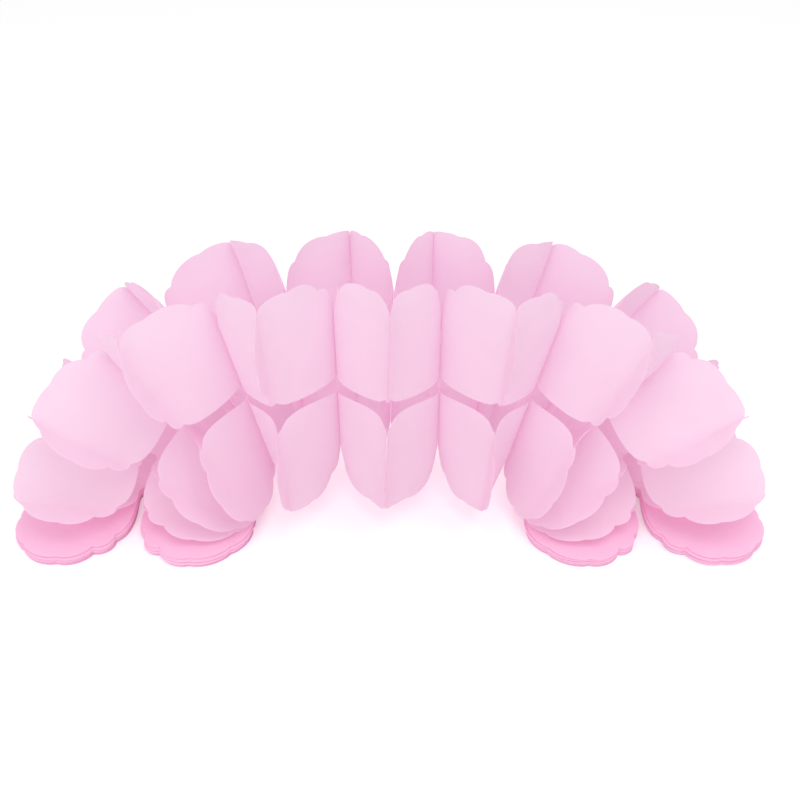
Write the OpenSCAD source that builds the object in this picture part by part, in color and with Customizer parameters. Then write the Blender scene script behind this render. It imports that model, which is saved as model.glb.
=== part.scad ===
// Paper clover garland: thin sheets die-cut as four-petal clovers with scalloped rims,
// glued one to the next along straight lines, fanned out into a low arch.
// Each end of the garland is a pressed pile of the same sheets on an end card.
// X runs along the garland, Y is its depth and Z is up; the cards lie on Z = 0.

/* [Clover sheet] */
// Half width of the flat clover, from its centre to the square round its petals
petal_half = 75; // [72:1:84]
// Height of each scallop above the line between its two valleys
scallop_rise = 3.4; // [2:0.1:4]
// Width of the slit between two petals
slit_w = 6; // [3:0.5:9]
// Distance from the sheet's centre to the inner end of each slit
slit_start = 10; // [8:0.5:14]
// Thickness of one free sheet, with its glue
sheet_t = 0.4; // [0.3:0.1:0.8]

/* [Glue lines] */
// Distance of the inner glue lines from the middle of the flat sheet
glue_inner = 9.5; // [9:0.5:12]
// Distance of the outer glue lines from the middle of the flat sheet
glue_outer = 62; // [58:0.5:64]
// Distance of the inner glue lines from the middle of the pulled-open sheet
open_inner = 9; // [7:0.5:9]
// Distance of the outer glue lines from the middle of the pulled-open sheet
open_outer = 52; // [46:0.5:54]
// Width of a glue line
glue_w = 2; // [1:0.5:3]

/* [Arch] */
// Length of the garland's centre line from its middle to the top of a pile
arch_half_len = 206; // [198:1:214]
// Room that the fanned petals keep from the point they turn about at each end
fan_room = 2; // [2:0.5:6]
// Number of free sheets on each side of the middle
sheets_per_side = 9; // [7:2:9]

/* [End piles] */
// Height of the pressed pile of sheets at each end
pile_h = 6; // [3:0.5:9]
// Thickness of the card under each pile
card_t = 1; // [0.6:0.1:2]
// How far each pile is turned about the vertical, its outer petals swung to the back
pile_turn = 1; // [0:0.5:4]

/* [Hidden] */
SIDES = ["left", "right"];
SHEET_NAMES = [for (i = [1 : 2 * sheets_per_side]) str("sheet_", i < 10 ? "0" : "", i)];

paper_pink = [0.97, 0.78, 0.90];
pile_pink = [0.95, 0.66, 0.82];
card_pink = [0.93, 0.60, 0.76];

// Outline of the flat clover, for the quarter between two slits

// Valleys between the scallops of a petal, from its slit to its diagonal
rim_valleys = petal_half * [[0.13, 0.73], [0.28, 0.87], [0.54, 0.985], [0.85, 0.85]];
half_slit = slit_w / 2;
// Edge of the slit from its rounded inner end to the first valley
slit_edge = [
    [0, slit_start],
    [0.75 * half_slit, slit_start + 0.3 * half_slit],
    [half_slit, slit_start + half_slit],
    [1.1 * half_slit, 0.7 * rim_valleys[0].y],
    [0.55 * rim_valleys[0].x, 0.88 * rim_valleys[0].y],
    rim_valleys[0]
];

function swap(p) = [p.y, p.x];
function reversed(list) = [for (i = [len(list) - 1 : -1 : 0]) list[i]];
// Top of the scallop between two valleys
function crest(a, b) =
    let (d = b - a)
    (a + b) / 2 + [-d.y, d.x] / norm(d) * scallop_rise;
crests = [
    for (i = [0 : len(rim_valleys) - 2]) crest(rim_valleys[i], rim_valleys[i + 1])
];
// Rim from the slit on the second axis to the diagonal
rim_half = concat(
    slit_edge,
    [for (i = [0 : len(crests) - 1]) each [crests[i], rim_valleys[i + 1]]]
);
petal_path = concat(rim_half, [for (p = reversed(rim_half)) if (p.x != p.y) swap(p)]);
function turned(p, k) = k == 0 ? p : turned([p.y, -p.x], k - 1);
// All four petals; each drops its last point, which is the next one's first
clover_path = [for (k = [0 : 3], i = [0 : len(petal_path) - 2]) turned(petal_path[i], k)];

// Centre line of the arch, as [x, z, angle] at equal steps from its middle to a pile

path_steps = 90;
pile_top = card_t + pile_h;
// The arch turns tightest over its last part, where the petals' inner tips all but meet,
// and more and more gently towards its middle
end_radius = petal_half + fan_room;
tight_fraction = 0.83;
mean_turn = PI / 2 * end_radius / arch_half_len;
middle_turn = max(0, 1 - 2 * (1 - mean_turn) / tight_fraction);
function turn_sum(t) =
    t < tight_fraction
    ? let (r = t / tight_fraction)
        middle_turn * t + (1 - middle_turn) * tight_fraction * (pow(r, 3) - pow(r, 4) / 2)
    : middle_turn * tight_fraction + (1 - middle_turn) * tight_fraction / 2 + t - tight_fraction;
function turn_at(t) = 90 * turn_sum(t) / turn_sum(1);
half_path = [
    for (
        i = 0, x = 0, z = 0;
        i <= path_steps;
        x = x + cos(turn_at((i + 0.5) / path_steps)) * arch_half_len / path_steps,
        z = z - sin(turn_at((i + 0.5) / path_steps)) * arch_half_len / path_steps,
        i = i + 1
    ) [x, z, turn_at(i / path_steps)]
];
half_span = half_path[path_steps].x;
drop = -half_path[path_steps].y;
function on_half(t) =
    let (
        q = t * path_steps,
        i = min(floor(q), path_steps - 1),
        a = half_path[i],
        b = half_path[i + 1]
    )
    a + (b - a) * (q - i);
// Centre, outward direction and forward direction of the joint plane at a signed share
// of the way from the middle to a pile
function joint_at(t) =
    let (p = on_half(abs(t)), s = sign(t), a = s * p.z)
    [[s * p.x, pile_top + drop + p.y], [sin(a), cos(a)], [cos(a), -sin(a)]];

// Sheets lie closer together towards the piles
fade_factor = 0.55;
fade_power = 1.3;
function fade(k) = 1 - fade_factor * pow(k / (sheets_per_side - 1), fade_power);
function fade_sum(k) = k <= 0 ? 0 : fade(k - 1) + fade_sum(k - 1);
function joint_share(k) = sign(k) * fade_sum(abs(k)) / fade_sum(sheets_per_side);

// Corrugation of a sheet between the joint before it and the joint after it

// Open depth of a point of the flat sheet: the part beyond the outer line stands straight
function opened(u) =
    let (v = abs(u), s = sign(u))
    v <= glue_inner ? s * v * open_inner / glue_inner
    : v <= glue_outer
    ? s * (open_inner + (v - glue_inner) * (open_outer - open_inner) / (glue_outer - glue_inner))
    : s * (open_outer + v - glue_outer);

// Share of the way from the joint before the sheet to the joint after it.
// On the back half the sheet lies on the joint before it at the inner line and reaches the
// joint after it at the outer line; the front half does the opposite.
// The neck at the centre crosses over, and the petals' slit edges stay near their own joint
slit_lean = 0.12;
half_glue = glue_w / 2;
function clamp01(t) = max(0, min(1, t));
function ease(t) = t * t * (3 - 2 * t);
function back_share(v, r) =
    let (
        inside = clamp01(1 - v / (glue_inner - half_glue)),
        petal_part = ease(clamp01((r - slit_start) / (petal_half / 2))),
        beyond = clamp01((v - glue_inner - half_glue) / (glue_outer - glue_inner - glue_w))
    )
    v <= glue_inner
    ? ease(inside) * (0.5 + (slit_lean - 0.5) * petal_part)
    : ease(beyond);
function share(u, r) = u >= 0 ? back_share(u, r) : 1 - back_share(-u, r);

// Columns of the flat sheet from its middle to its side; the rulings between them are straight
glue_columns = [for (v = [glue_inner, glue_outer], e = [-half_glue, half_glue]) v + e];
rim_columns = [
    0,
    slit_edge[1].x,
    slit_edge[2].x,
    slit_edge[4].x,
    slit_start,
    slit_start + half_slit,
    rim_valleys[1].x,
    crests[1].x,
    rim_valleys[2].x,
    crests[2].x,
    rim_valleys[1].y,
    crests[2].y
];
column_gap = 0.8;
function clear_of_glue(u) = min([for (g = glue_columns) abs(u - g)]) > column_gap;
function sorted(list) =
    len(list) <= 1 ? list
    : let (m = list[0])
        concat(
            sorted([for (v = list) if (v < m) v]),
            [m],
            sorted([for (v = list) if (v > m) v])
        );
columns = sorted(concat(glue_columns, [for (u = rim_columns) if (clear_of_glue(u)) u]));
last = len(columns) - 1;

// Outer rim and slit edge of a petal, as heights above the axis at a flat depth
high_rim = concat(rim_half, [swap(crests[2])]);
low_rim = concat(
    [for (p = slit_edge) swap(p)],
    [swap(crests[0]), swap(rim_valleys[1]), swap(crests[1])]
);
function high(u) = lookup(u, high_rim);
function low(u) = u <= slit_start ? 0 : lookup(u, low_rim);
// Points beyond the last column at the side of a petal
side_points = [swap(crests[1]), swap(rim_valleys[2])];

// Flat sheet as [depth, height] points, quarter by quarter, and its triangles
quarters = [[1, 1], [1, -1], [-1, -1], [-1, 1]];
per_quarter = 2 * (last + 1) + len(side_points);
flat_points = [
    for (q = quarters)
    each concat(
        [for (u = columns) each [[q.x * u, q.y * low(u)], [q.x * u, q.y * high(u)]]],
        [for (p = side_points) [q.x * p.x, q.y * p.y]]
    )
];
// Points on the axes are shared by two or four quarters
merge_gap = 0.001;
function same_point(i) =
    min([for (k = [0 : i]) if (norm(flat_points[k] - flat_points[i]) < merge_gap) k]);
point_ids = [for (i = [0 : len(flat_points) - 1]) same_point(i)];
// Corners of the strip between two columns, or of the side beyond the last one
function strip(base, i) = [for (v = [0, 2, 3, 1]) base + 2 * i + v];
function quarter_faces(k) = [
    for (i = [0 : last])
        let (f = strip(k * per_quarter, i))
        [for (v = k % 2 == 0 ? f : reversed(f)) point_ids[v]]
];
flat_faces = [
    for (k = [0 : 3], f = quarter_faces(k)) each [[f[0], f[1], f[2]], [f[0], f[2], f[3]]]
];
edges = [for (f = flat_faces, i = [0 : 2]) [f[i], f[(i + 1) % 3]]];
rim_edges = [for (e = edges) if (len([for (o = edges) if (o == [e[1], e[0]]) 1]) == 0) e];

// Point of a ruling, at a height measured outwards from the centre line
function on_joint(joint, shift, height) = joint[0] + joint[1] * height + joint[2] * shift;
function sheet_point(before, after, p, shift) =
    let (
        a = on_joint(before, shift, p.y),
        b = on_joint(after, shift - sheet_t, p.y),
        m = a + (b - a) * share(p.x, abs(p.y))
    )
    [m.x, opened(p.x), m.y];

// Free sheet i of the arch, counted from 1 at the left pile
module free_sheet(i) {
    k = i - 1 - sheets_per_side;
    before = joint_at(joint_share(k));
    after = joint_at(joint_share(k + 1));
    n = len(flat_points);
    // Every second sheet is the mirror image of the one before it, front to back
    flip = i % 2;
    points = [for (shift = [0, sheet_t], p = flat_points) sheet_point(before, after, p, shift)];
    faces = concat(
        flat_faces,
        [for (f = flat_faces) [f[2] + n, f[1] + n, f[0] + n]],
        [for (e = rim_edges) each [[e[1], e[0], e[0] + n], [e[1], e[0] + n, e[1] + n]]]
    );
    color(paper_pink)
        mirror([0, flip, 0])
            polyhedron(points, faces);
}

// Pressed sheets or card at one end, between two heights
module end_clover(side, z, h) {
    s = side == "left" ? -1 : 1;
    translate([s * half_span, 0, z])
        rotate([0, 0, s * pile_turn])
            linear_extrude(height = h)
                polygon(clover_path);
}

module end_card(side) {
    color(card_pink) end_clover(side, 0, card_t);
}

module pile(side) {
    color(pile_pink) end_clover(side, card_t, pile_h);
}

for (s = SIDES) {
    end_card(s);
    pile(s);
}
for (i = [1 : 2 * sheets_per_side])
    free_sheet(i);
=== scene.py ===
# %% [markdown]
# # Paper clover garland
# A tissue garland: die-cut clovers glued one to the next along straight lines, pulled open
# into a low arch, with a pressed pile of the same clovers on a card at each end. The frame
# gives every piece its place, and this script makes the paper itself: its fine scallops,
# its slack, its layers and its soft, see-through pink.

import math
import random
from collections import namedtuple

import bpy
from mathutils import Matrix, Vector


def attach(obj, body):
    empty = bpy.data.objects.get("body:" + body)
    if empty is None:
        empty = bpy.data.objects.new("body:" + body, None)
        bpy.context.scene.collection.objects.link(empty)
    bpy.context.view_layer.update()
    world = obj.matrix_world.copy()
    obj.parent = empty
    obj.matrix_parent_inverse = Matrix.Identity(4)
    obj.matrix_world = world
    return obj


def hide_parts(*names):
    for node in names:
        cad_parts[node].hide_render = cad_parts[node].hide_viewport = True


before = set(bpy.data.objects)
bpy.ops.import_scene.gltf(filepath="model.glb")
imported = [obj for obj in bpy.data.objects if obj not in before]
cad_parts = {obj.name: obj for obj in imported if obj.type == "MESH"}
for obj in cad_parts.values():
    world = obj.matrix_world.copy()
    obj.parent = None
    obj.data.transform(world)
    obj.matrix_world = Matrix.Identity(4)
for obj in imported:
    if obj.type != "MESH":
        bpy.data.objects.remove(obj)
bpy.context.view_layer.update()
MM = 0.001

# %% [markdown]
# ## Camera
# The camera looks down on the arch from the front. A camera can be placed by eye, but here
# its height, distance and lens were fitted together to where the arch's joints, petal tips
# and piles stand in the picture, because a close wide lens and a far long one look alike
# until the near and far petals are compared.

# %% Camera
ELEVATION = math.radians(34.8)
CAMERA_DISTANCE = 549 * MM
LOOK_AT = Vector((6.5, 0.0, 71.1)) * MM
LENS_MM = 39.1
SENSOR_MM = 36

camera_data = bpy.data.cameras.new("camera")
camera_data.lens = LENS_MM
camera_data.sensor_width = SENSOR_MM
camera = bpy.data.objects.new("camera", camera_data)
bpy.context.collection.objects.link(camera)
camera.location = LOOK_AT + CAMERA_DISTANCE * Vector((0, -math.cos(ELEVATION), math.sin(ELEVATION)))
camera.rotation_euler = (math.pi / 2 - ELEVATION, 0, 0)
bpy.context.scene.camera = camera
print("camera at", [round(c / MM) for c in camera.location], "mm")

# %% [markdown]
# ## The flat clover
# Every sheet is cut by the same die: four rounded petals, each with scallops along its rim
# and a narrow slit to the next petal. Only half a petal is drawn. The other half is its
# mirror image about the diagonal, and the petal is then turned three times.

# %% Sizes of the die
PETAL_HALF = 75 * MM
SCALLOP_RISE = 4.0 * MM
SCALLOP_STEPS = 9
SCALLOP_FULLNESS = 0.7
SLIT_START = 9 * MM
# Edge of the slit in mm: a round inner end that narrows outwards and opens again at the rim
SLIT_POINTS = ((0, 9), (3.4, 9.9), (5.2, 12.8), (4.9, 18), (3.7, 27), (3.2, 36), (3.7, 43), (5.6, 49.5))
SLIT_STEPS = 4
# Valleys between the scallops, from the slit to the petal's diagonal
RIM_VALLEYS = [Vector(p) * PETAL_HALF for p in ((0.13, 0.73), (0.28, 0.87), (0.54, 0.985), (0.85, 0.85))]
print("half petal:", len(RIM_VALLEYS) - 1, "scallops,", len(SLIT_POINTS), "points along the slit")

# %% Outline of the clover


def swapped(p):
    return Vector((p.y, p.x))


def scallop(a, b):
    """Points of one scallop from valley a to valley b, without b."""
    across = Vector((-(b - a).y, (b - a).x)).normalized()
    points = []
    for i in range(SCALLOP_STEPS):
        t = i / SCALLOP_STEPS
        lift = SCALLOP_RISE * math.sin(math.pi * t) ** SCALLOP_FULLNESS
        points.append(a.lerp(b, t) + across * lift)
    return points


def slit_edge():
    """Smooth curve through the slit's points up to the first valley, without that valley."""
    mirrored_second = (-SLIT_POINTS[1][0], SLIT_POINTS[1][1])
    anchors = [Vector(p) * MM for p in (mirrored_second, *SLIT_POINTS)] + [RIM_VALLEYS[0]] * 2
    path = []
    for k in range(1, len(anchors) - 2):
        before, a, b, after = anchors[k - 1 : k + 3]
        for i in range(SLIT_STEPS):
            t = i / SLIT_STEPS
            h = (2 * t**3 - 3 * t**2 + 1) * a + (t**3 - 2 * t**2 + t) * (b - before) / 2
            path.append(h + (-2 * t**3 + 3 * t**2) * b + (t**3 - t**2) * (after - a) / 2)
    return path


def clover_outline():
    half = slit_edge()
    for a, b in zip(RIM_VALLEYS, RIM_VALLEYS[1:]):
        half += scallop(a, b)
    petal = half + [RIM_VALLEYS[-1]] + [swapped(p) for p in reversed(half)]
    outline = []
    for quarter_turns in range(4):
        for p in petal[:-1]:
            for _ in range(quarter_turns):
                p = Vector((p.y, -p.x))
            outline.append(p)
    return outline


OUTLINE = clover_outline()
print("outline points", len(OUTLINE))

# %% [markdown]
# ## A net of fine faces
# A sheet can only bend where it has edges. A grid of quads would leave stair steps along the
# scallops, so the outline is filled with one face and bisected by straight lines instead,
# which keeps it exact. Extra lines run along both edges of each glue line, because the
# paper is flat between them and bends beside them.

# %% Fill the outline


def select_only(*things):
    """Selects these objects alone and makes the first one active."""
    bpy.ops.object.select_all(action="DESELECT")
    for thing in things:
        thing.select_set(True)
    bpy.context.view_layer.objects.active = things[0]


def filled_clover(name):
    """The clover as one flat face that looks up; the outline itself runs clockwise."""
    mesh = bpy.data.meshes.new(name)
    points = [(p.x, p.y, 0) for p in OUTLINE]
    mesh.from_pydata(points, [], [list(reversed(range(len(points))))])
    clover = bpy.data.objects.new(name, mesh)
    bpy.context.collection.objects.link(clover)
    return clover


flat = filled_clover("flat_clover")
print("filled clover of", len(flat.data.polygons), "face")

# %% Bisect it into a net
NET_PITCH = 2.6 * MM
# The rows of the net run this far off the axis
ROW_OFFSET = 0.3 * MM
# A column of the net that comes this close to a glue line's edge is left out
COLUMN_CLEARANCE = 0.6 * MM
GLUE_INNER = 10.5 * MM
GLUE_OUTER = 61.5 * MM
GLUE_W = 2 * MM


def bisect_at(places, direction):
    """Cuts the mesh in edit mode by a plane at each place along a direction."""
    for place in places:
        bpy.ops.mesh.select_all(action="SELECT")
        bpy.ops.mesh.bisect(plane_co=direction * place, plane_no=direction)


glue_edges = [s * (g + e) for s in (-1, 1) for g in (GLUE_INNER, GLUE_OUTER) for e in (-GLUE_W / 2, GLUE_W / 2)]
net_steps = int((PETAL_HALF + SCALLOP_RISE) / NET_PITCH)
net_lines = [i * NET_PITCH for i in range(-net_steps, net_steps + 1)]
columns = [c for c in net_lines if all(abs(c - e) > COLUMN_CLEARANCE for e in glue_edges)]

select_only(flat)
bpy.ops.object.mode_set(mode="EDIT")
bisect_at(columns + glue_edges, Vector((1, 0, 0)))
bisect_at([line + ROW_OFFSET for line in net_lines], Vector((0, 1, 0)))
bpy.ops.object.mode_set(mode="OBJECT")

CLOVER_AREA = sum(polygon.area for polygon in flat.data.polygons)
print("flat clover", len(flat.data.vertices), "points", len(flat.data.polygons), "faces")

# %% [markdown]
# ## The arch
# Neighbouring sheets meet in joint planes, which stand across one smooth centre line. The
# line turns gently over the middle and tightly near the piles, where the petals fan round
# until their inner tips all but meet. Its height comes out of its length and its turning,
# so it is added up in small steps from the middle down to a pile.

# %% Centre line
ARCH_HALF_LEN = 206 * MM
FAN_ROOM = 2 * MM
CARD_T = 1 * MM
PILE_H = 6 * MM
PATH_STEPS = 180
# Share of the way to a pile from which the line turns at its tightest
TIGHT_FROM = 0.83

end_radius = PETAL_HALF + FAN_ROOM
mean_turn = math.pi / 2 * end_radius / ARCH_HALF_LEN
middle_turn = max(0.0, 1 - 2 * (1 - mean_turn) / TIGHT_FROM)


def turn_sum(t):
    """Turning added up from the middle to share t, where the tightest turning is 1."""
    if t < TIGHT_FROM:
        r = t / TIGHT_FROM
        return middle_turn * t + (1 - middle_turn) * TIGHT_FROM * (r**3 - r**4 / 2)
    return middle_turn * TIGHT_FROM + (1 - middle_turn) * TIGHT_FROM / 2 + t - TIGHT_FROM


def turn_at(t):
    return math.pi / 2 * turn_sum(t) / turn_sum(1)


half_path = [(0.0, 0.0)]
path_step = ARCH_HALF_LEN / PATH_STEPS
for i in range(PATH_STEPS):
    x, z = half_path[-1]
    a = turn_at((i + 0.5) / PATH_STEPS)
    half_path.append((x + math.cos(a) * path_step, z - math.sin(a) * path_step))
HALF_SPAN = half_path[-1][0]
PILE_TOP = CARD_T + PILE_H
AXIS_TOP = PILE_TOP - half_path[-1][1]
print("half span", round(HALF_SPAN / MM, 1), "mm, top of the centre line", round(AXIS_TOP / MM, 1), "mm")

# %% Joint planes
SHEETS_PER_SIDE = 9
# The sheets lie closer together towards the piles
FADE_DEPTH = 0.55
FADE_POWER = 1.3


def joint_at(t):
    """Centre, outward direction and forward direction of the joint plane at a signed share."""
    q = min(abs(t), 1) * PATH_STEPS
    i = min(int(q), PATH_STEPS - 1)
    (x0, z0), (x1, z1) = half_path[i], half_path[i + 1]
    s = math.copysign(1, t)
    a = s * turn_at(min(abs(t), 1))
    x = s * (x0 + (x1 - x0) * (q - i))
    z = AXIS_TOP + z0 + (z1 - z0) * (q - i)
    return Vector((x, z)), Vector((math.sin(a), math.cos(a))), Vector((math.cos(a), -math.sin(a)))


def fade(k):
    return 1 - FADE_DEPTH * (k / (SHEETS_PER_SIDE - 1)) ** FADE_POWER


def joint_share(k):
    """Signed share of the way from the middle to a pile at which joint k stands."""
    total = sum(fade(i) for i in range(SHEETS_PER_SIDE))
    return math.copysign(sum(fade(i) for i in range(abs(k))) / total, k)


joint_numbers = range(-SHEETS_PER_SIDE, SHEETS_PER_SIDE + 1)
print("joints at share", [round(joint_share(k), 2) for k in joint_numbers if k >= 0])

# %% [markdown]
# ## A garland opened by hand
# A real garland never stands quite evenly: its joints sit a little high or low, and each is
# turned somewhat about its own upright. So every joint wanders a millimetre or two from its
# even place, by random draws from a fixed seed. The joints near the piles stay even, because
# the sheets there are pressed close together.

# %% Loose joints
# Joints from this one outwards stay even
EVEN_FROM = 7
MIDDLE_YAW = 2
SIDE_YAW = 4.5
TILT = math.radians(1.6)
SHIFT = 1.2 * MM
LIFT = 1.0 * MM
SLIDE = 1.5 * MM

# A joint plane seen from the side, with its slide along Y and its slew, which is forward per Y
Joint = namedtuple("Joint", "centre out forward slide slew")


def freedom(k):
    """How freely joint k wanders: fully at the middle, not at all near the piles."""
    return max(0.0, 1 - (k / EVEN_FROM) ** 2)


def yaw(k):
    """Turn of a joint plane about its outward direction: the left half is turned more."""
    return math.radians(MIDDLE_YAW - SIDE_YAW * max(-1, min(1, k))) * freedom(k)


random.seed(11)
wander = {k: [freedom(k) * random.uniform(-1, 1) for _ in range(4)] for k in joint_numbers}


def loose_joint(k):
    """Joint k as the hand left it, a little off its even place."""
    centre, out, forward = joint_at(joint_share(k))
    shift, tilt, lift, slide = wander[k]
    turn = TILT * tilt
    out, forward = out + forward * turn, forward - out * turn
    centre = centre + forward * shift * SHIFT + out * lift * LIFT
    return Joint(centre, out, forward, slide * SLIDE, math.tan(yaw(k)))


print("yaw in degrees", {k: round(math.degrees(yaw(k)), 1) for k in joint_numbers})

# %% [markdown]
# ## Bending a sheet
# A sheet between two joints touches the one before it along two glue lines and the one after
# it along two others. Between the lines it swings over, and beyond the outer lines a short
# flap stands straight. Each point of the flat net is moved by that rule. A cloth simulation
# would only approach it, because the glue lines decide the shape almost alone.

# %% Depth of a pulled-open sheet
# The glue lines come closer to the middle when the sheet is pulled open
OPEN_INNER = 10.5 * MM
OPEN_OUTER = 53 * MM


def opened(u):
    """Depth of a point of the pulled-open sheet that lay at depth u in the flat sheet."""
    v = abs(u)
    if v <= GLUE_INNER:
        w = v * OPEN_INNER / GLUE_INNER
    elif v <= GLUE_OUTER:
        w = OPEN_INNER + (v - GLUE_INNER) * (OPEN_OUTER - OPEN_INNER) / (GLUE_OUTER - GLUE_INNER)
    else:
        w = OPEN_OUTER + v - GLUE_OUTER
    return math.copysign(w, u)


print("a petal's depth", round(opened(PETAL_HALF) / MM, 1), "mm open,", round(PETAL_HALF / MM, 1), "mm flat")

# %% Share of the way between two joints
# The petals' slit edges stay near their own joint
SLIT_LEAN = 0.12
# The glue ends at this height above the axis, and beyond it the edges peel apart
GLUE_END = 47 * MM
PEEL = 0.17
PEEL_POWER = 1.2
PEEL_REACH = 1.6


def clamp01(t):
    return max(0.0, min(1.0, t))


def ease(t):
    return t * t * (3 - 2 * t)


def back_share(v, r):
    """Share on the back half, at depth v and height r: 0 at the joint before, 1 at the one after."""
    half_glue = GLUE_W / 2
    peel = PEEL * clamp01((r - GLUE_END) / (PETAL_HALF - GLUE_END)) ** PEEL_POWER
    if v <= GLUE_INNER:
        inside = clamp01(1 - v / (GLUE_INNER - half_glue))
        petal_part = ease(clamp01((r - SLIT_START) / (PETAL_HALF / 2)))
        return peel + ease(inside) * (0.5 + (SLIT_LEAN - 0.5) * petal_part)
    beyond = clamp01((v - GLUE_INNER - half_glue) / (GLUE_OUTER - GLUE_INNER - GLUE_W))
    return ease(beyond) + peel * (1 - ease(clamp01(PEEL_REACH * beyond)))


def share(u, r):
    """The front half does the opposite of the back half."""
    return back_share(u, r) if u >= 0 else 1 - back_share(-u, r)


print("shares across a petal", [round(share(u * MM, 30 * MM), 2) for u in (-70, -35, -11, 0, 11, 35, 70)])

# %% Slack waves
# Height of the waves, as a part of the room between two joints
RIPPLE = 0.06
RIPPLE_FROM_GLUE = 9 * MM
RIPPLE_FROM_CENTRE = 0.3
DEPTH_WAVE = 7.5 * MM
HEIGHT_WAVE = 10 * MM
# Each sheet's waves start this much further on than those of the sheet before it
SHEET_PHASE = 1.7


def ripple(u, r, phase):
    """Slack wave of the rim; none at the glue lines, near the centre and on the outer flaps."""
    from_glue = min(abs(abs(u) - GLUE_INNER), abs(abs(u) - GLUE_OUTER)) / RIPPLE_FROM_GLUE
    outer = clamp01(math.hypot(u, r) / PETAL_HALF - RIPPLE_FROM_CENTRE) ** 2 if abs(u) < GLUE_OUTER else 0
    wave = math.sin(u / DEPTH_WAVE + phase) + 0.6 * math.sin(r / HEIGHT_WAVE + 2.3 * phase)
    return RIPPLE * clamp01(from_glue) * outer * wave


print("ripple at a petal's middle", round(ripple(35 * MM, 45 * MM, SHEET_PHASE), 4))

# %% [markdown]
# ## The free sheets
# All eighteen sheets are copies of the one flat net, each bent between its own two joints.
# Every second sheet is mirrored, front to back: that is what puts its glue lines where its
# neighbours have theirs. The bent net has no thickness, so Solidify gives it one, and the
# flat clover's own coordinates are kept as a UV map of the paper.

# %% Bend and finish the sheets
# Room between two sheets where they are glued
SHEET_GAP = 0.4 * MM
TISSUE_T = 0.12 * MM
SMOOTH_BELOW = math.radians(40)


def bent_sheet(i):
    """Free sheet i of the arch, counted from 1 at the left pile."""
    k = i - 1 - SHEETS_PER_SIDE
    before, after = loose_joint(k), loose_joint(k + 1)
    back = -1 if i % 2 else 1
    mesh = flat.data.copy()
    sheet = bpy.data.objects.new(f"tissue_{i:02d}", mesh)
    bpy.context.collection.objects.link(sheet)
    uv = mesh.uv_layers.new(name="flat")
    for loop in mesh.loops:
        p = mesh.vertices[loop.vertex_index].co
        uv.data[loop.index].uv = (0.5 + p.x / PETAL_HALF / 2, 0.5 + p.y / PETAL_HALF / 2)
    for vertex in mesh.vertices:
        u, r = vertex.co.x, vertex.co.y
        y = back * opened(u)
        a = before.centre + before.out * r + before.forward * (SHEET_GAP / 2 + before.slew * y)
        b = after.centre + after.out * r - after.forward * (SHEET_GAP / 2 - after.slew * y)
        part = share(u, abs(r)) + ripple(u, abs(r), SHEET_PHASE * i)
        m = a.lerp(b, part)
        vertex.co = (m.x, y + before.slide * (1 - part) + after.slide * part, m.y)
    return sheet


def finish_sheet(sheet):
    wall = sheet.modifiers.new("wall", "SOLIDIFY")
    wall.thickness = TISSUE_T
    wall.offset = 0
    select_only(sheet)
    bpy.ops.object.modifier_apply(modifier="wall")
    bpy.ops.object.shade_smooth_by_angle(angle=SMOOTH_BELOW)


sheets = []
for i in range(1, 2 * SHEETS_PER_SIDE + 1):
    sheet = bent_sheet(i)
    finish_sheet(sheet)
    sheets.append(sheet)
bent_areas = [sum(p.area for p in sheet.data.polygons) / 2 / CLOVER_AREA for sheet in sheets]
print("bent area over flat area from", round(min(bent_areas), 3), "to", round(max(bent_areas), 3))
print("tissue sheets", len(sheets), "triangles each about", 2 * len(sheets[0].data.polygons))

# %% [markdown]
# ## End piles and cards
# At each end the rest of the sheets lie pressed together, and their edges show as fine
# lines. A bump could draw those, but the rim would stay one smooth wall. So a pile is made
# of a few thick leaves that lie a hair out of line, every second one slightly smaller. A
# leaf is the filled clover, extruded.

# %% A clover plate


def clover_slab(name, low, high, turn, shift, x, size=1.0):
    """A clover plate from low to high, turned and shifted in its plane."""
    slab = filled_clover(name)
    select_only(slab)
    bpy.ops.object.mode_set(mode="EDIT")
    bpy.ops.mesh.select_all(action="SELECT")
    bpy.ops.mesh.extrude_region_move(TRANSFORM_OT_translate={"value": (0, 0, high - low)})
    bpy.ops.mesh.select_all(action="SELECT")
    bpy.ops.mesh.normals_make_consistent(inside=False)
    bpy.ops.object.mode_set(mode="OBJECT")
    c, s = math.cos(turn), math.sin(turn)
    for vertex in slab.data.vertices:
        p = vertex.co * size
        vertex.co = (x + shift[0] + c * p.x - s * p.y, shift[1] + s * p.x + c * p.y, low + vertex.co.z)
    return slab


def joined(parts, name):
    select_only(*parts)
    bpy.ops.object.join()
    parts[0].name = name
    return parts[0]


bpy.data.objects.remove(flat)

# %% Piles and cards
PILE_TURN = math.radians(1)
LEAVES = 7
LEAF_T = PILE_H / LEAVES
LEAF_TURN = 0.8
LEAF_SHIFT = 0.7
SMALL_LEAF = 0.988
random.seed(7)


def leaf_place(sign):
    """Turn and shift of one leaf, a hair out of line with its pile."""
    turn = sign * PILE_TURN + math.radians(random.uniform(-LEAF_TURN, LEAF_TURN))
    shift = (random.uniform(-LEAF_SHIFT, LEAF_SHIFT) * MM, random.uniform(-LEAF_SHIFT, LEAF_SHIFT) * MM)
    return turn, shift


piles = {}
cards = {}
for side, sign in (("left", -1), ("right", 1)):
    leaves = []
    for n in range(LEAVES):
        turn, shift = leaf_place(sign)
        low = CARD_T + n * LEAF_T
        size = SMALL_LEAF if n % 2 else 1.0
        leaves.append(clover_slab(f"leaf_{n}", low, low + LEAF_T, turn, shift, sign * HALF_SPAN, size))
    piles[side] = joined(leaves, f"pressed_pile_{side}")
    cards[side] = clover_slab(f"card_{side}", 0, CARD_T, sign * PILE_TURN, (0, 0), sign * HALF_SPAN)
    print(piles[side].name, "leaves", len(leaves), "height", round(piles[side].dimensions.z / MM, 1), "mm")

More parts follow.
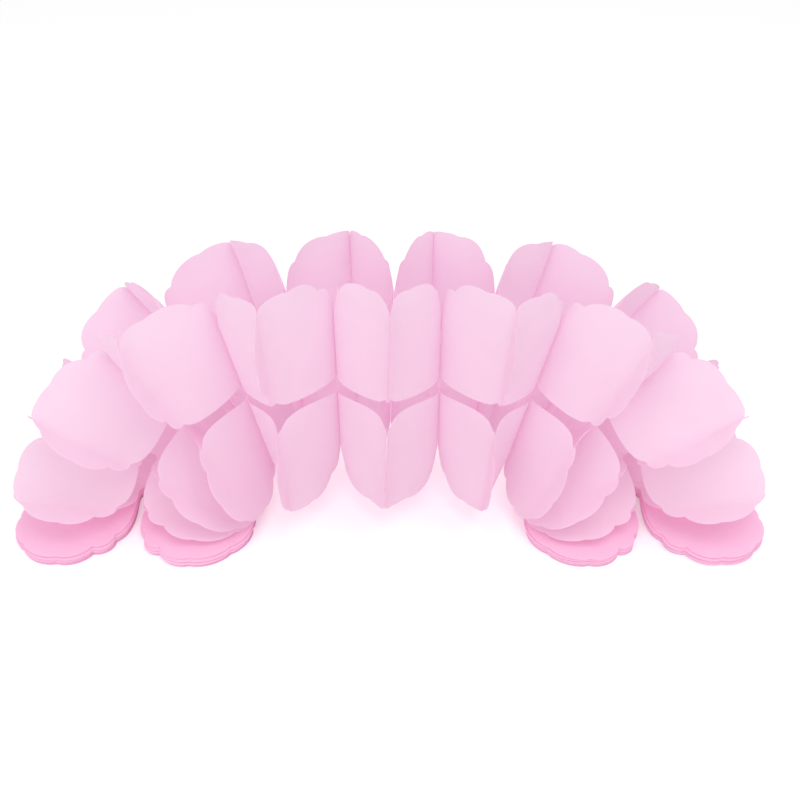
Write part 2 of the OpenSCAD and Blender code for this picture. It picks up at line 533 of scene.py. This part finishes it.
# %% [markdown]
# ## Tissue
# Tissue paper lets much of the light through, so its folds look a deeper pink than its open
# faces. A translucent shader mixed with a matt one gives that by itself: light that has
# passed through several sheets has taken the dye's colour each time. Between many sheets the
# render loses more light than the real paper does, so the matt shader also has a faint pink
# glow. The fibres are a fine bump, and the dye is a little cloudy.

# %% The tissue shader
FIBRE_SCALE = 900
FIBRE_DEPTH = 0.4 * MM
FIBRE_BUMP = 0.12
CLOUD_SCALE = 60
CLOUD_PALE = 1.03
CLOUD_DEEP = 0.97
GLOW_PINK = (1.0, 0.56, 0.70)


def noise_on_object(tree, scale, detail):
    """A noise texture on the piece's own coordinates, which every piece here shares."""
    place = tree.nodes.new("ShaderNodeTexCoord")
    noise = tree.nodes.new("ShaderNodeTexNoise")
    noise.inputs["Scale"].default_value = scale
    noise.inputs["Detail"].default_value = detail
    tree.links.new(place.outputs["Object"], noise.inputs["Vector"])
    return noise.outputs["Fac"]


def matt_paper(tree, colour, glow_strength):
    """The side of the paper that throws light back, with its cloudy dye and faint glow."""
    face = tree.nodes.new("ShaderNodeBsdfPrincipled")
    face.inputs["Roughness"].default_value = 0.85
    face.inputs["Specular IOR Level"].default_value = 0.2
    face.inputs["Emission Color"].default_value = (*GLOW_PINK, 1)
    face.inputs["Emission Strength"].default_value = glow_strength
    tint = tree.nodes.new("ShaderNodeMix")
    tint.data_type = "RGBA"
    tint.inputs["A"].default_value = (*[CLOUD_DEEP * c for c in colour], 1)
    tint.inputs["B"].default_value = (*[min(1, CLOUD_PALE * c) for c in colour], 1)
    tree.links.new(noise_on_object(tree, CLOUD_SCALE, 4), tint.inputs["Factor"])
    tree.links.new(tint.outputs["Result"], face.inputs["Base Color"])
    return face


def tissue_material(name, colour, through, see_through, glow_strength):
    """Paper of a colour that lets light of another colour through, by a share from 0 to 1."""
    material = bpy.data.materials.new(name)
    material.use_nodes = True
    tree = material.node_tree
    tree.nodes.clear()
    out = tree.nodes.new("ShaderNodeOutputMaterial")
    mix = tree.nodes.new("ShaderNodeMixShader")
    mix.inputs["Fac"].default_value = see_through
    face = matt_paper(tree, colour, glow_strength)
    passed = tree.nodes.new("ShaderNodeBsdfTranslucent")
    passed.inputs["Color"].default_value = (*through, 1)
    bump = tree.nodes.new("ShaderNodeBump")
    bump.inputs["Strength"].default_value = FIBRE_BUMP
    bump.inputs["Distance"].default_value = FIBRE_DEPTH
    tree.links.new(noise_on_object(tree, FIBRE_SCALE, 5), bump.inputs["Height"])
    tree.links.new(bump.outputs["Normal"], face.inputs["Normal"])
    tree.links.new(bump.outputs["Normal"], passed.inputs["Normal"])
    tree.links.new(face.outputs["BSDF"], mix.inputs[1])
    tree.links.new(passed.outputs["BSDF"], mix.inputs[2])
    tree.links.new(mix.outputs["Shader"], out.inputs["Surface"])
    print(name, "nodes", len(tree.nodes))
    return material


# %% Give the pieces their paper
TISSUE_PINK = (0.76, 0.84, 0.86)
THROUGH_PINK = (1.0, 0.70, 0.86)
PILE_PINK = (0.95, 0.60, 0.80)
CARD_PINK = (0.86, 0.45, 0.66)
tissue = tissue_material("tissue", TISSUE_PINK, THROUGH_PINK, 0.5, 0.22)
pressed_tissue = tissue_material("pressed_tissue", PILE_PINK, THROUGH_PINK, 0.15, 0.1)
end_card = tissue_material("end_card", CARD_PINK, CARD_PINK, 0.02, 0.0)

for sheet in sheets:
    sheet.data.materials.append(tissue)
for side in ("left", "right"):
    piles[side].data.materials.clear()
    piles[side].data.materials.append(pressed_tissue)
    cards[side].data.materials.append(end_card)

# %% [markdown]
# ## Riding on the frame
# Nothing on this object moves, so every piece rides on the one body and stands for its node.

# %% Ride and replace
for i, sheet in enumerate(sheets, start=1):
    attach(sheet, "root")
    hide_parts(f"sheet_{i:02d}")
for side in ("left", "right"):
    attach(piles[side], "root")
    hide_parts(f"pile_{side}")
    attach(cards[side], "root")
    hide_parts(f"end_card_{side}")
print("pieces", len(sheets) + len(piles) + len(cards))

# %% [markdown]
# ## Floor and light
# The picture's background is pure white. More light would bleach the paper, so the floor is
# made whiter for the camera's own rays only, and so is the sky. All other rays see a plain
# pale floor and a grey sky, and the floor keeps the arch's shadow.

# %% Floor
FLOOR_SIZE = 6
FLOOR_WHITE = (0.9, 0.9, 0.9, 1)
# Brightness that the camera sees on the floor besides its light
FLOOR_LIFT = 0.24


def show_to_camera(tree, out, to_others, to_camera):
    """Ends a node tree: one shader for the camera's rays and another one for all the rest."""
    rays = tree.nodes.new("ShaderNodeLightPath")
    pick = tree.nodes.new("ShaderNodeMixShader")
    tree.links.new(rays.outputs["Is Camera Ray"], pick.inputs["Fac"])
    tree.links.new(to_others, pick.inputs[1])
    tree.links.new(to_camera, pick.inputs[2])
    tree.links.new(pick.outputs["Shader"], out.inputs["Surface"])


bpy.ops.mesh.primitive_plane_add(size=FLOOR_SIZE, location=(0, 0, 0))
floor = bpy.context.object
floor.name = "floor"
paint = bpy.data.materials.new("floor_white")
paint.use_nodes = True
tree = paint.node_tree
tree.nodes.clear()
out = tree.nodes.new("ShaderNodeOutputMaterial")
matt = tree.nodes.new("ShaderNodeBsdfDiffuse")
matt.inputs["Color"].default_value = FLOOR_WHITE
white = tree.nodes.new("ShaderNodeEmission")
white.inputs["Strength"].default_value = FLOOR_LIFT
lifted = tree.nodes.new("ShaderNodeAddShader")
tree.links.new(matt.outputs["BSDF"], lifted.inputs[0])
tree.links.new(white.outputs["Emission"], lifted.inputs[1])
show_to_camera(tree, out, matt.outputs["BSDF"], lifted.outputs["Shader"])
floor.data.materials.append(paint)
print("floor", FLOOR_SIZE, "m wide")

# %% Sky
world = bpy.data.worlds.new("sky")
bpy.context.scene.world = world
world.use_nodes = True
tree = world.node_tree
tree.nodes.clear()
out = tree.nodes.new("ShaderNodeOutputWorld")
seen = tree.nodes.new("ShaderNodeBackground")
seen.inputs["Color"].default_value = (1, 1, 1, 1)
light = tree.nodes.new("ShaderNodeBackground")
light.inputs["Color"].default_value = (0.8, 0.8, 0.8, 1)
show_to_camera(tree, out, light.outputs["Background"], seen.outputs["Background"])
print("sky nodes", len(tree.nodes))

# %% Lamps
LAMPS_AIM = Vector((0, 0, 0.06))


def lamp(name, place, size, watts):
    """A square lamp that is turned to the middle of the arch."""
    data = bpy.data.lights.new(name, "AREA")
    data.size = size
    data.energy = watts
    thing = bpy.data.objects.new(name, data)
    bpy.context.collection.objects.link(thing)
    thing.location = place
    thing.rotation_euler = (LAMPS_AIM - Vector(place)).to_track_quat("-Z", "Y").to_euler()
    print(name, watts, "W")


lamp("top_lamp", (0.25, -0.35, 1.2), 0.9, 4)
lamp("front_lamp", (-0.6, -1.1, 0.7), 0.8, 3)
bpy.context.scene.view_settings.view_transform = "Standard"
